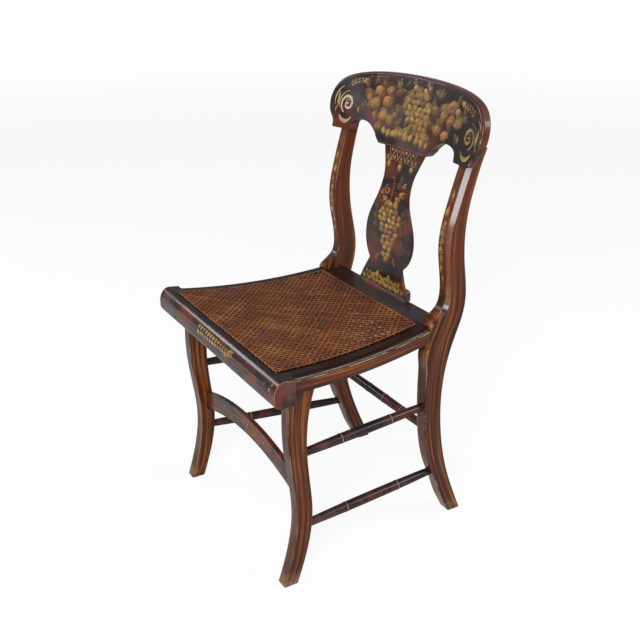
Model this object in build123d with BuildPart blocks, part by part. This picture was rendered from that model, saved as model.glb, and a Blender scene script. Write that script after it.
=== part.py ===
from build123d import *
import os
from math import cos, radians, sin, sqrt, tan

os.makedirs("parts", exist_ok=True)

# Side chair with a caned seat. Millimetres, +Z up, the front faces -Y,
# the origin lies on the floor below the middle of the chair.

# ---------------------------------------------------------------- seat frame
seat_height = 430.0  # top of the frame at the front and rear edges of the caning
seat_dish = 10.0  # how far the seat top dips between those two edges
cane_front = -206.5  # front edge of the caning
cane_rear = 111.5  # rear edge of the caning
cane_margin = 29.0  # from a side rail's outer edge to the caning
cane_thickness = 2.0

front_rail_overhang = 8.0  # past the side rails, at each end
front_rail_front = -227.0
front_rail_width = 41.0
front_rail_depth = 49.0
roll_reach = 20.0  # the front rail's rolled upper edge, front to back
roll_drop = 27.0  # its height
roll_under_radius = 14.0  # rounding of the rail's lower edge

side_rail_half = 238.0  # half of the seat's width behind the front rail
side_rail_width = 42.0
side_rail_depth = 29.0
side_rail_edge = 11.0  # rounding of the outer upper edge
rail_end_edge = 1.5

rear_rail_front = 99.5
rear_rail_back = 163.5
rear_rail_depth = 34.0

# ---------------------------------------------------------------- rear posts
post_thickness = 28.5
post_foot_half = 182.5  # outer half width at the floor
post_splay = 2.0  # degrees, the posts spread towards the crest
post_top = 722.0  # shoulder that carries the crest
post_tongue = 28.0  # rise of the post behind the crest, above that shoulder
post_seat_front = 120.0  # plane where a side rail butts on the post
post_edge = 3.5  # rounding of the long edges
post_chamfer = 7.0  # flat along the outer front edge above the seat
post_tip_y = 120.5  # the scroll where the stile's front edge meets the seat
post_tip_z = 440.0
post_foot_front = 201.0
post_foot_back = 230.0
post_spare = 6.0  # waste left on the blank's ends before they are trimmed

# ---------------------------------------------------------------- front legs
leg_thickness = 25.0
leg_inset = 17.5  # from a side rail's outer edge, at its front, to the leg
leg_foot_front = -200.5
leg_foot_back = -172.5
leg_top_back = -134.0
leg_edge = 2.0

# ---------------------------------------------------------------- crest rail
crest_top = 843.0
crest_overhang = 31.3  # past the posts' outer faces, at each end
crest_ear_overhang = 12.3  # past a post's outer face, where the ear stands on it
crest_ear_inside = 11.2  # past a post's inner face
crest_lobe_bottom = 711.5
crest_lobe_half = 74.5
crest_notch_top = 746.0
crest_face = 183.5  # front face at the middle of the lower edge
crest_radius = 1000.0  # hollow of the front face, seen from above
crest_lean = 14.0  # degrees
crest_thickness = 18.5
crest_back_edge = 5.0
crest_front_edge = 4.0
crest_ear_corner = 5.0  # bevel of an ear's outer lower corner

# --------------------------------------------------------------------- splat
splat_thickness = 6.5
splat_foot_face = 148.5  # front face where the splat stands on the rear rail
splat_foot_rise = 25.0  # its foot is upright to this height above the seat
splat_foot_half = 82.5
splat_waist_half = 52.5
splat_waist_rise = 59.5  # heights of the waist, belly and neck above the seat
splat_belly_half = 76.0
splat_belly_rise = 116.0
splat_neck_half = 43.0
splat_neck_rise = 215.0
splat_top_half = 62.5
splat_setback = 5.5  # from the crest's front face back to the splat's
splat_tongue = 9.0  # length of the tongue let into the crest
splat_tongue_half = 55.0
shoe_half = 74.0
shoe_height = 23.0
shoe_corner = 6.0

# ---------------------------------------------------------------- stretchers
side_stretcher_end = 7.5  # radius where it enters a leg
side_stretcher_belly = 9.5  # radius at mid length
upper_heights = (262.0, 260.0)  # at the leg and at the post
lower_heights = (113.5, 105.0)
upper_depths = (-150.0, 120.5)  # where the axis meets the leg's rear edge and the post's front edge
lower_depths = (-143.0, 151.5)
ring_shares = (0.29, 0.715)  # ring lines along the exposed length
ring_height = 0.5
ring_width = 2.4
socket_depth = 14.0  # how far a round stretcher enters a leg
rear_stretcher_height = 205.0
rear_stretcher_y = 143.0
rear_stretcher_end = 7.5
rear_stretcher_belly = 9.5
rear_ring_shares = (0.22, 0.41, 0.59, 0.78)
rear_stretcher_cover = 9.0  # wood of the post in front of the stretcher's end

arch_front = -158.6  # front face of the arched stretcher
arch_thickness = 9.0
arch_top = 231.0
arch_top_end = 198.5
arch_under = 194.5
arch_under_end = 159.0
arch_tenon_length = 12.0
arch_tenon_height = 24.0
arch_tenon_thickness = 5.0

# ------------------------------------------------------------ small hardware
dowel_radius = 4.0
dowel_length = 30.0
crest_dowel_cover = 6.0  # wood of the crest in front of its dowels
crest_dowel_length = 26.0
rear_dowel_length = 24.0
peg_radius = 2.0
peg_length = 9.0
peg_inset = 3.0  # from the caning's edge in to its line of holes
peg_sink = 0.3  # a peg's top lies this far below the caning
brad_radius = 0.9
brad_length = 14.0
fit = 0.1  # clearance round a dowel, peg, tenon or stretcher end

# ------------------------------------------------------------ derived values
front_rail_back = front_rail_front + front_rail_width
front_rail_length = 2 * (side_rail_half + front_rail_overhang)
front_rail_bottom = seat_height - front_rail_depth
leg_outer_half = side_rail_half - leg_inset
leg_inner_half = leg_outer_half - leg_thickness
arch_tenon_z = (arch_top_end + arch_under_end) / 2
dish_half = (cane_rear - cane_front) / 2
dish_radius = (dish_half**2 + seat_dish**2) / (2 * seat_dish)
dish_y = (cane_front + cane_rear) / 2
dish_z = seat_height - seat_dish + dish_radius
splay_rise = tan(radians(post_splay))


def seat_z(y, below=0.0):
    """Height of the dished seat top, or of a surface a set depth below it."""
    return dish_z - sqrt((dish_radius + below) ** 2 - (y - dish_y) ** 2)


def post_outer(z):
    return post_foot_half + z * splay_rise


def post_inner(z):
    return post_outer(z) - post_thickness / cos(radians(post_splay))


crest_half = post_outer(post_top) + crest_overhang
crest_ear_half = post_outer(post_top) + crest_ear_overhang
crest_ear_inner = post_inner(post_top) - crest_ear_inside
side_rail_rear_half = post_outer(seat_z(post_seat_front, side_rail_depth))
side_rail_slope = (side_rail_half - side_rail_rear_half) / (post_seat_front - front_rail_back)


def rail_outer(y):
    return side_rail_half - (y - front_rail_back) * side_rail_slope


def rail_inner(y):
    return rail_outer(y) - side_rail_width


def crest_front(x, z):
    """Front face of the crest rail."""
    return crest_face + (z - crest_lobe_bottom) * tan(radians(crest_lean)) - x**2 / (2 * crest_radius)


def crest_bed():
    """Plane across the crest's lean, a little below the crest, with its origin on the front face."""
    lean = radians(crest_lean)
    bed = Plane(origin=(0, crest_face, crest_lobe_bottom), x_dir=(1, 0, 0), z_dir=(0, sin(lean), cos(lean)))
    return bed.offset(-crest_thickness)


def post_plane(side):
    """Outer face of a post: local x runs back on the right post, local y runs up."""
    lean = radians(post_splay)
    return Plane(origin=(side * post_foot_half, 0, 0), x_dir=(0, side, 0),
                 z_dir=(side * cos(lean), 0, -sin(lean)))


# ------------------------------------------------------------ shared helpers
def rod(start, end, radius, mode=Mode.ADD):
    way = Vector(*end) - Vector(*start)
    with Locations(Plane(origin=start, z_dir=way)):
        Cylinder(radius, way.length, align=(Align.CENTER, Align.CENTER, Align.MIN), mode=mode)


def along(start, end, distance):
    """Point on the line through start and end, a set distance past start."""
    return Vector(*start) + (Vector(*end) - Vector(*start)).normalized() * distance


def drill(start, end, radius=dowel_radius):
    """Hole for a dowel or brad, with clearance all round and at both ends."""
    rod(along(start, end, -fit), along(end, start, -fit), radius + fit, Mode.SUBTRACT)


def socket(start, end, radius):
    """Blind hole that takes the end of a round stretcher that runs from start to end."""
    rod(along(start, end, -socket_depth - fit), along(start, end, socket_depth), radius + fit, Mode.SUBTRACT)


def drill_down(x, y):
    """Hole for a cane peg, square to the floor."""
    top = seat_z(y)
    rod((x, y, top - peg_length - fit), (x, y, top + fit), peg_radius + fit, Mode.SUBTRACT)


def between(start, end, shares):
    """Points at pairs of shares of the way from one point to another."""
    return [(start[0] + (end[0] - start[0]) * across, start[1] + (end[1] - start[1]) * up)
            for across, up in shares]


def dish_arc(y_start, y_end, below=0.0):
    """Arc of the seat top between two places, drawn in a YZ sketch."""
    return ThreePointArc(*[(y, seat_z(y, below)) for y in (y_start, (y_start + y_end) / 2, y_end)])


def long_edge(part, face, outline):
    """Edge that follows an outline of a sawn blank on one of its faces."""
    near = face.from_local_coords(outline[len(outline) // 2])
    return part.edges().sort_by_distance(near)[0]


def round_long_edges(part, face, outlines, radius):
    for outline in outlines:
        fillet(long_edge(part, face, outline), radius=radius)


def finish(piece, label):
    piece.part.label = label
    export_step(piece.part, f"parts/{label}.step")
    print(f"{label}: {len(piece.solids())} solids, {piece.part.volume / 1000:.1f} cm3")


# ------------------------------------------------------ where stretchers run
def side_stretcher_line(side, heights, depths):
    """Axis of a side stretcher, from its leg's rear edge to its post's front edge."""
    middle = (post_outer(heights[1]) + post_inner(heights[1])) / 2
    start = Vector(side * (leg_outer_half - leg_thickness / 2), depths[0], heights[0])
    return start, Vector(side * middle, depths[1], heights[1])


def upper_line(side):
    return side_stretcher_line(side, upper_heights, upper_depths)


def lower_line(side):
    return side_stretcher_line(side, lower_heights, lower_depths)


def rear_stretcher_line():
    half = post_inner(rear_stretcher_height)
    return [(x, rear_stretcher_y, rear_stretcher_height) for x in (half, -half)]


# ------------------------------------------------- dowels, pegs, brads: axes
def leg_dowel(side):
    y = (front_rail_back + leg_top_back) / 2
    x = side * (leg_inner_half + leg_thickness / 2)
    joint = seat_z(y, side_rail_depth)
    return (x, y, joint - dowel_length / 2), (x, y, joint + dowel_length / 2)


def crest_dowel(side):
    """Blind dowel through the crest's thickness into the post's tongue."""
    x = (post_outer(post_top) + post_inner(post_top)) / 2
    z = post_top + post_tongue / 2
    way = Vector(0, cos(radians(crest_lean)), -sin(radians(crest_lean)))
    start = Vector(side * x, crest_front(x, z), z) + way * crest_dowel_cover
    return start, start + way * crest_dowel_length


def front_rail_dowels(side):
    z = seat_z(front_rail_back) - side_rail_depth / 2
    middle = (rail_outer(front_rail_back) + rail_inner(front_rail_back)) / 2
    step = side_rail_width / 4
    reach = dowel_length / 2
    return [((side * x, front_rail_back - reach, z), (side * x, front_rail_back + reach, z))
            for x in (middle - step, middle + step)]


def side_rail_dowels(side):
    x = (post_outer(seat_height) + post_inner(seat_height)) / 2
    z = seat_z(post_seat_front) - side_rail_depth / 2
    step = side_rail_depth / 4
    reach = dowel_length / 2
    return [((side * x, post_seat_front - reach, h), (side * x, post_seat_front + reach, h))
            for h in (z - step, z + step)]


def rear_rail_dowels(side):
    z = seat_height - rear_rail_depth / 2
    x = post_inner(z)
    reach = rear_dowel_length / 2
    step = (rear_rail_back - post_seat_front) / 4
    return [((side * (x - reach), y, z), (side * (x + reach), y, z))
            for y in (rear_rail_back - step, rear_rail_back - 2 * step)]


def stretcher_brad(side):
    """Brad through a post's front edge into the end of the rear stretcher."""
    x = side * (post_inner(rear_stretcher_height) + socket_depth / 2)
    front = rear_stretcher_y - rear_stretcher_end - rear_stretcher_cover
    return (x, front, rear_stretcher_height), (x, front + brad_length, rear_stretcher_height)


def splat_brad(side):
    x = side * shoe_half * 0.75
    z = seat_height + shoe_height / 2
    return (x, splat_foot_face, z), (x, splat_foot_face + brad_length, z)


def front_pegs():
    half = rail_outer(cane_front) - cane_margin - peg_inset
    return [(half * share, cane_front + peg_inset) for share in (-1, -1 / 3, 1 / 3, 1)]


def side_pegs(side):
    depths = [dish_y + dish_half * share for share in (-0.5, 0.1, 0.92)]
    return [(side * (rail_outer(y) - cane_margin - peg_inset), y) for y in depths]


def rear_pegs():
    return [(splat_belly_half * share, cane_rear - peg_inset) for share in (-1, 1)]


# ---------------------------------------------------------------- rear posts
def make_crest_room():
    """Everything in front of the crest's back face, above the posts' shoulders."""
    with BuildPart() as room:
        with BuildSketch(crest_bed()):
            with Locations((0, -crest_radius)):
                Circle(crest_radius + crest_thickness + fit)
        extrude(amount=2 * post_tongue + crest_thickness)
        split(bisect_by=Plane.XY.offset(post_top), keep=Keep.TOP)
    return room.part


def make_rear_post(side, label):
    blank_top = post_top + post_tongue + post_spare
    front_upper = [(post_tip_y, post_tip_z), (133, 448.5), (148, 463), (153.5, 490), (149, 530),
                   (143, 577), (146, 615), (155, 652), (167, 694), (176, post_top), (188, blank_top)]
    front_lower = [(post_seat_front, 388), (117, 383), (117, 350), (118.5, 316), (120.5, 265), (129.5, 184),
                   (146.5, 122), (163.5, 82), (179.5, 41), (post_foot_front, 0),
                   (post_foot_front + 3, -post_spare)]
    back = [(post_foot_back + 2.5, -post_spare), (post_foot_back, 0), (189, 102), (165, 204), (159.5, 290),
            (174.5, 386), (190.5, 434), (196.5, 470), (194.5, 502), (187, 545), (182.5, 592), (185, 642),
            (195, 690), (204, post_top), (216.5, blank_top)]
    face = post_plane(1)

    with BuildPart() as post:
        with BuildSketch(face):
            with BuildLine():
                Spline(*front_upper)
                Line(front_upper[-1], back[-1])
                Spline(*reversed(back))
                Line(back[0], front_lower[-1])
                Spline(*reversed(front_lower))
                Polyline(front_lower[0], (post_seat_front, post_tip_z - 4), front_upper[0])
            make_face()
        extrude(amount=-post_thickness)
        round_long_edges(post, face, (front_lower, back), post_edge)
        chamfer(long_edge(post, face, front_upper), length=post_chamfer)
        round_long_edges(post, face.offset(-post_thickness), (front_upper, front_lower, back), post_edge)
        split(bisect_by=Plane.XY, keep=Keep.TOP)
        split(bisect_by=Plane.XY.offset(post_top + post_tongue), keep=Keep.BOTTOM)
        add(make_crest_room(), mode=Mode.SUBTRACT)
        for start, end in (upper_line(1), lower_line(1)):
            socket(end, start, side_stretcher_end)
        socket(*rear_stretcher_line(), rear_stretcher_end)
        for start, end in [crest_dowel(1), *side_rail_dowels(1), *rear_rail_dowels(1)]:
            drill(start, end)
        drill(*stretcher_brad(1), brad_radius)
        if side < 0:
            mirror(about=Plane.YZ, mode=Mode.REPLACE)
    finish(post, label)


# ---------------------------------------------------------------- front legs
def make_front_leg(side, label):
    front = [(front_rail_back, front_rail_bottom), (-188.5, 332), (-186, 267), (-177, 202), (-172, 134),
             (-181, 67), (leg_foot_front, 0)]
    back = [(leg_foot_back, 0), (-156, 51), (-144.5, 102), (-141, 148), (-145.5, 204), (-151.5, 285),
            (-148, 337), (leg_top_back, seat_z(leg_top_back, side_rail_depth))]
    face = Plane(origin=(leg_outer_half, 0, 0), x_dir=(0, 1, 0), z_dir=(1, 0, 0))

    with BuildPart() as leg:
        with BuildSketch(face):
            with BuildLine():
                Spline(*front)
                Line(front[-1], back[0])
                Spline(*back)
                dish_arc(leg_top_back, front_rail_back, side_rail_depth)
                Line((front_rail_back, seat_z(front_rail_back, side_rail_depth)), front[0])
            make_face()
        extrude(amount=-leg_thickness)
        for depth in (0, -leg_thickness):
            round_long_edges(leg, face.offset(depth), (front, back), leg_edge)
        for start, end in (upper_line(1), lower_line(1)):
            socket(start, end, side_stretcher_end)
        with BuildSketch(Plane.YZ.offset(leg_inner_half)):
            with Locations((arch_front + arch_thickness / 2, arch_tenon_z)):
                Rectangle(arch_tenon_thickness + 2 * fit, arch_tenon_height + 2 * fit)
        extrude(amount=arch_tenon_length + fit, mode=Mode.SUBTRACT)
        drill(*leg_dowel(1))
        if side < 0:
            mirror(about=Plane.YZ, mode=Mode.REPLACE)
    finish(leg, label)


# ---------------------------------------------------------------- seat frame
def make_front_rail():
    roll_back = front_rail_front + roll_reach
    roll_low = seat_height - roll_drop
    under_back = front_rail_front + roll_under_radius
    under_high = front_rail_bottom + roll_under_radius

    with BuildPart() as rail:
        with BuildSketch(Plane.YZ.offset(-front_rail_length / 2)):
            with BuildLine():
                dish_arc(front_rail_back, cane_front)
                Line((cane_front, seat_height), (roll_back, seat_height))
                EllipticalCenterArc((roll_back, roll_low), roll_reach, roll_drop,
                                    start_angle=90, arc_size=90)
                Line((front_rail_front, roll_low), (front_rail_front, under_high))
                JernArc((front_rail_front, under_high), (0, -1), roll_under_radius, 90)
                Polyline((under_back, front_rail_bottom), (front_rail_back, front_rail_bottom),
                         (front_rail_back, seat_z(front_rail_back)))
            make_face()
        extrude(amount=front_rail_length)
        fillet(rail.faces().filter_by(Axis.X).edges(), radius=rail_end_edge)
        for start, end in front_rail_dowels(1) + front_rail_dowels(-1):
            drill(start, end)
        for x, y in front_pegs():
            drill_down(x, y)
    finish(rail, "front_seat_rail")


def make_side_rail(side, label):
    front, rear = front_rail_back, post_seat_front
    with BuildPart() as rail:
        with BuildSketch(Plane.YZ):
            with BuildLine():
                dish_arc(front, rear)
                dish_arc(front, rear, side_rail_depth)
                for y in (front, rear):
                    Line((y, seat_z(y)), (y, seat_z(y, side_rail_depth)))
            make_face()
        extrude(amount=side_rail_half)
        with BuildSketch():
            Polygon((rail_outer(front), front), (rail_outer(rear), rear), (rail_inner(rear), rear),
                    (rail_inner(front), front), align=None)
        extrude(amount=seat_height + seat_dish, mode=Mode.INTERSECT)
        outer_face = rail.faces().sort_by(Axis.X)[-1]
        fillet(outer_face.edges().sort_by(Axis.Z)[-1], radius=side_rail_edge)
        for start, end in [leg_dowel(1), *front_rail_dowels(1), *side_rail_dowels(1)]:
            drill(start, end)
        for x, y in side_pegs(1):
            drill_down(x, y)
        if side < 0:
            mirror(about=Plane.YZ, mode=Mode.REPLACE)
    finish(rail, label)


def make_rear_rail():
    shoulder = post_seat_front
    corners = [(rail_inner(rear_rail_front), rear_rail_front), (rail_inner(shoulder), shoulder),
               (side_rail_half, shoulder), (side_rail_half, rear_rail_back)]
    mirrored = [(-x, y) for x, y in reversed(corners)]
    above = seat_height + seat_dish

    with BuildPart() as rail:
        with BuildSketch(Plane.XY.offset(seat_height - rear_rail_depth)):
            Polygon(*corners, *mirrored, align=None)
        extrude(amount=rear_rail_depth)
        with BuildSketch(Plane.YZ.offset(-side_rail_half)):
            with BuildLine():
                dish_arc(rear_rail_front, cane_rear)
                Polyline((cane_rear, seat_height), (cane_rear, above), (rear_rail_front, above),
                         (rear_rail_front, seat_z(rear_rail_front)))
            make_face()
        extrude(amount=2 * side_rail_half, mode=Mode.SUBTRACT)
        for side in (-1, 1):
            split(bisect_by=post_plane(side).offset(-post_thickness), keep=Keep.BOTTOM)
        for start, end in rear_rail_dowels(1) + rear_rail_dowels(-1):
            drill(start, end)
        for x, y in rear_pegs():
            drill_down(x, y)
    finish(rail, "rear_seat_rail")


def make_cane_seat():
    """The woven panel as one thin sheet that lies on the dished frame."""
    front_half = rail_outer(cane_front) - cane_margin
    rear_half = rail_outer(cane_rear) - cane_margin
    with BuildPart() as cane:
        with BuildSketch(Plane.YZ.offset(-front_half)):
            with BuildLine():
                dish_arc(cane_front, cane_rear)
                dish_arc(cane_front, cane_rear, -cane_thickness)
                for y in (cane_front, cane_rear):
                    Line((y, seat_z(y)), (y, seat_z(y, -cane_thickness)))
            make_face()
        extrude(amount=2 * front_half)
        with BuildSketch():
            Polygon((front_half, cane_front), (rear_half, cane_rear), (-rear_half, cane_rear),
                    (-front_half, cane_front), align=None)
        extrude(amount=seat_height + seat_dish, mode=Mode.INTERSECT)
    finish(cane, "cane_seat")


# --------------------------------------------------------------------- crest
def crest_outline():
    """Right half of the crest's front outline, from the top centre round to the lower centre."""
    crown = [(0.44, 0.975), (0.66, 0.93), (0.81, 0.862), (0.9, 0.78), (0.965, 0.65), (1, 0.42), (0.966, 0.2)]
    ear_low = (crest_ear_half, post_top + crest_ear_corner)
    ear_high = (crest_ear_inner - 2, post_top + 8)
    lobe_end = (crest_lobe_half, crest_lobe_bottom)
    Spline((0, crest_top), *between((0, post_top), (crest_half, crest_top), crown), ear_low,
           tangents=[(1, 0), (0, -1)])
    Polyline(ear_low, (crest_ear_half - crest_ear_corner, post_top), (crest_ear_inner, post_top), ear_high)
    notch = [(0.88, 0.88), (0.66, 1), (0.36, 0.82), (0.15, 0.39)]
    Spline(ear_high, *between(lobe_end, (crest_ear_inner, crest_notch_top), notch), lobe_end,
           tangents=[(-0.1, 1), (-1, -0.8)])
    Polyline(lobe_end, (0, crest_lobe_bottom), (0, crest_top))


def splat_surface(behind=0.0):
    """Curve of the splat's front face in a YZ sketch, or of a surface a set distance behind it."""
    foot = (splat_foot_face + behind, seat_height)
    top = (crest_face + splat_setback + behind, crest_lobe_bottom)
    bends = [(0.1, 0.21), (0.22, 0.36), (0.28, 0.51), (0.4, 0.66), (0.59, 0.77), (0.85, 0.91)]
    tip = (top[0] + splat_tongue * tan(radians(crest_lean)), top[1] + splat_tongue)
    return [foot, (foot[0], foot[1] + splat_foot_rise), *between(foot, top, bends), top, tip]


def make_splat_blank(clearance=0.0):
    """Curved slab, wide as the crest, from which the splat is sawn."""
    front = splat_surface(-clearance)
    back = splat_surface(splat_thickness + clearance)
    lean = radians(crest_lean)
    with BuildPart() as blank:
        with BuildSketch(Plane.YZ.offset(-crest_half)):
            with BuildLine():
                for curve in (front, back):
                    Line(curve[0], curve[1])
                    Spline(*curve[1:], tangents=[(0, 1), (sin(lean), cos(lean))])
                for end in (0, -1):
                    Line(front[end], back[end])
            make_face()
        extrude(amount=2 * crest_half)
    return blank.part


def make_tongue_mortise():
    """Space in the crest's lower edge that takes the splat's tongue."""
    with BuildPart() as mortise:
        add(make_splat_blank(fit))
        with Locations((0, splat_foot_face, crest_lobe_bottom)):
            Box(2 * (splat_tongue_half + fit), crest_radius, 4 * splat_tongue, mode=Mode.INTERSECT)
    return mortise.part


def make_crest():
    with BuildPart() as crest:
        with BuildSketch(crest_bed()):
            with Locations((0, -crest_radius)):
                Circle(crest_radius + crest_thickness)
                Circle(crest_radius, mode=Mode.SUBTRACT)
            Rectangle(3 * crest_half, crest_half, mode=Mode.INTERSECT)
        extrude(amount=crest_top - crest_lobe_bottom + 3 * crest_thickness)
        with BuildSketch(Plane.XZ):
            with BuildLine():
                crest_outline()
            make_face()
            mirror(about=Plane.YZ)
        extrude(amount=-crest_radius, mode=Mode.INTERSECT)
        front_edge, back_edge = crest.edges().sort_by(Axis.Z)[-2:].sort_by(Axis.Y)
        fillet(back_edge, radius=crest_back_edge)
        fillet(crest.edges().sort_by_distance(front_edge.center())[0], radius=crest_front_edge)
        for side in (-1, 1):
            drill(*crest_dowel(side))
        add(make_tongue_mortise(), mode=Mode.SUBTRACT)
    finish(crest, "crest_rail")


# --------------------------------------------------------------------- splat
def splat_outline():
    """Right half of the splat's front outline, from the tongue down to the foot."""
    tongue_top = crest_lobe_bottom + splat_tongue
    top = (splat_top_half, crest_lobe_bottom)
    neck = (splat_neck_half, seat_height + splat_neck_rise)
    belly = (splat_belly_half, seat_height + splat_belly_rise)
    waist = (splat_waist_half, seat_height + splat_waist_rise)
    knee = (splat_foot_half - 1, seat_height + 8)
    Polyline((0, tongue_top), (splat_tongue_half, tongue_top), (splat_tongue_half, crest_lobe_bottom), top)
    Spline(top, *between(top, neck, [(0.62, 0.43), (0.96, 0.75)]), neck,
           *between(neck, belly, [(0.16, 0.27), (0.5, 0.51), (0.84, 0.75)]), belly,
           *between(belly, waist, [(0.14, 0.5), (0.55, 0.81)]), waist)
    Spline(waist, *between(waist, knee, [(0.3, 0.32), (0.7, 0.71)]), knee)
    Polyline(knee, (splat_foot_half, seat_height), (0, seat_height), (0, tongue_top))


def make_splat():
    with BuildPart() as splat:
        with BuildSketch(Plane.XZ):
            with BuildLine():
                splat_outline()
            make_face()
            mirror(about=Plane.YZ)
        extrude(amount=-crest_radius)
        add(make_splat_blank(), mode=Mode.INTERSECT)
        for side in (-1, 1):
            drill(*splat_brad(side), brad_radius)
    finish(splat, "back_splat")


def make_shoe():
    shoe_front = splat_foot_face + splat_thickness
    with BuildPart() as shoe:
        with BuildSketch(Plane.XZ.offset(-rear_rail_back)) as block:
            with Locations((0, seat_height)):
                Rectangle(2 * shoe_half, shoe_height, align=(Align.CENTER, Align.MIN))
            fillet(block.vertices().group_by(Axis.Z)[-1], shoe_corner)
        extrude(amount=rear_rail_back - shoe_front)
        for side in (-1, 1):
            drill(*splat_brad(side), brad_radius)
    finish(shoe, "splat_shoe")


# ---------------------------------------------------------------- stretchers
def make_round_stretcher(start, end, end_radius, belly_radius, shares, label):
    """Turned stretcher: swelling at mid length, raised rings, plain ends in their sockets."""
    exposed = (Vector(*end) - Vector(*start)).length
    tail = socket_depth + ring_width
    swell = belly_radius - end_radius
    way = (Vector(*end) - Vector(*start)).normalized()
    place = Plane(origin=start, x_dir=way, z_dir=way.cross(Vector(0, 0, 1)))

    with BuildPart() as stretcher:
        with BuildSketch(place):
            with BuildLine():
                Polyline((-socket_depth, 0), (-socket_depth, end_radius), (tail - socket_depth, end_radius))
                ThreePointArc((tail - socket_depth, end_radius), (exposed / 2, belly_radius),
                              (exposed - tail + socket_depth, end_radius))
                Polyline((exposed - tail + socket_depth, end_radius), (exposed + socket_depth, end_radius),
                         (exposed + socket_depth, 0), (-socket_depth, 0))
            make_face()
        revolve(axis=Axis(start, way))
        for share in shares:
            radius = end_radius + swell * 4 * share * (1 - share) + ring_height
            rod(along(start, end, exposed * share - ring_width / 2),
                along(start, end, exposed * share + ring_width / 2), radius)
        if label == "rear_stretcher":
            for side in (-1, 1):
                drill(*stretcher_brad(side), brad_radius)
    finish(stretcher, label)


def make_front_stretcher():
    """Flat board sawn to an arch, with a tenon at each end."""
    half = leg_inner_half
    middle = arch_front + arch_thickness / 2
    with BuildPart() as arch:
        with BuildSketch(Plane.XZ.offset(-arch_front)):
            with BuildLine():
                ThreePointArc((-half, arch_top_end), (0, arch_top), (half, arch_top_end))
                Line((half, arch_top_end), (half, arch_under_end))
                ThreePointArc((half, arch_under_end), (0, arch_under), (-half, arch_under_end))
                Line((-half, arch_under_end), (-half, arch_top_end))
            make_face()
        extrude(amount=-arch_thickness)
        for side in (-1, 1):
            with Locations((side * (half + arch_tenon_length / 2), middle, arch_tenon_z)):
                Box(arch_tenon_length, arch_tenon_thickness, arch_tenon_height)
    finish(arch, "front_stretcher")


# ------------------------------------------------------------ small hardware
def make_rods(axes, radius, label):
    """A set of separate dowels, pegs or brads as one node."""
    with BuildPart() as rods:
        for start, end in axes:
            rod(start, end, radius)
    finish(rods, label)


def both(dowels):
    return dowels(-1) + dowels(1)


def make_hardware():
    make_rods([leg_dowel(-1), leg_dowel(1)], dowel_radius, "front_leg_dowels")
    make_rods([crest_dowel(-1), crest_dowel(1)], dowel_radius, "crest_dowels")
    make_rods(both(front_rail_dowels), dowel_radius, "front_rail_dowels")
    make_rods(both(side_rail_dowels), dowel_radius, "side_rail_dowels")
    make_rods(both(rear_rail_dowels), dowel_radius, "rear_rail_dowels")
    make_rods([stretcher_brad(-1), stretcher_brad(1)], brad_radius, "rear_stretcher_brads")
    make_rods([splat_brad(-1), splat_brad(1)], brad_radius, "splat_brads")
    pegs = [((x, y, seat_z(y) - peg_length), (x, y, seat_z(y) - peg_sink))
            for x, y in front_pegs() + side_pegs(-1) + side_pegs(1) + rear_pegs()]
    make_rods(pegs, peg_radius, "cane_pegs")


make_front_rail()
make_rear_rail()
make_cane_seat()
make_crest()
make_splat()
make_shoe()
make_front_stretcher()
make_round_stretcher(*rear_stretcher_line(), rear_stretcher_end, rear_stretcher_belly,
                     rear_ring_shares, "rear_stretcher")
for side, name in ((1, "right"), (-1, "left")):
    make_rear_post(side, f"{name}_rear_post")
    make_front_leg(side, f"{name}_front_leg")
    make_side_rail(side, f"{name}_seat_rail")
    for height, line in (("upper", upper_line), ("lower", lower_line)):
        make_round_stretcher(*line(side), side_stretcher_end, side_stretcher_belly, ring_shares,
                             f"{name}_{height}_stretcher")
make_hardware()
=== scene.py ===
import math
import random

import bpy
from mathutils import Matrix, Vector
from mathutils.bvhtree import BVHTree


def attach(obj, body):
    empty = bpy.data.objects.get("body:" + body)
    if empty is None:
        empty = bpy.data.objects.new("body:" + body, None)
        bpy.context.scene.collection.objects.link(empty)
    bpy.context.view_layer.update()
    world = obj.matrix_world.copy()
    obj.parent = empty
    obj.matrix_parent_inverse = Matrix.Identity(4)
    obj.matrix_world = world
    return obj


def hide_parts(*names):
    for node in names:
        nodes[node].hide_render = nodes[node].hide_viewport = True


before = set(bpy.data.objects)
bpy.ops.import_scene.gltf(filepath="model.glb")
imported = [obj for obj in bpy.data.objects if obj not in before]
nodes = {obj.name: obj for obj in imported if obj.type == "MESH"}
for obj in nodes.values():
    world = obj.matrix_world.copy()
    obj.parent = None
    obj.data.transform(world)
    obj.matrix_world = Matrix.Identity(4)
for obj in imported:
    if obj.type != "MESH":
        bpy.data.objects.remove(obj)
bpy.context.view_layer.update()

mm = 0.001
chance = random.Random(7)


# Shader maths: a wire is one output socket, and plain arithmetic on wires adds Math nodes.
class Wire:
    def __init__(self, paint, socket):
        self.paint, self.socket = paint, socket

    def __add__(self, other):
        return self.paint.maths("ADD", self, other)

    def __sub__(self, other):
        return self.paint.maths("SUBTRACT", self, other)

    def __rsub__(self, other):
        return self.paint.maths("SUBTRACT", other, self)

    def __mul__(self, other):
        return self.paint.maths("MULTIPLY", self, other)

    def __truediv__(self, other):
        return self.paint.maths("DIVIDE", self, other)

    def __abs__(self):
        return self.paint.maths("ABSOLUTE", self)

    __radd__ = __add__
    __rmul__ = __mul__


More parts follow.
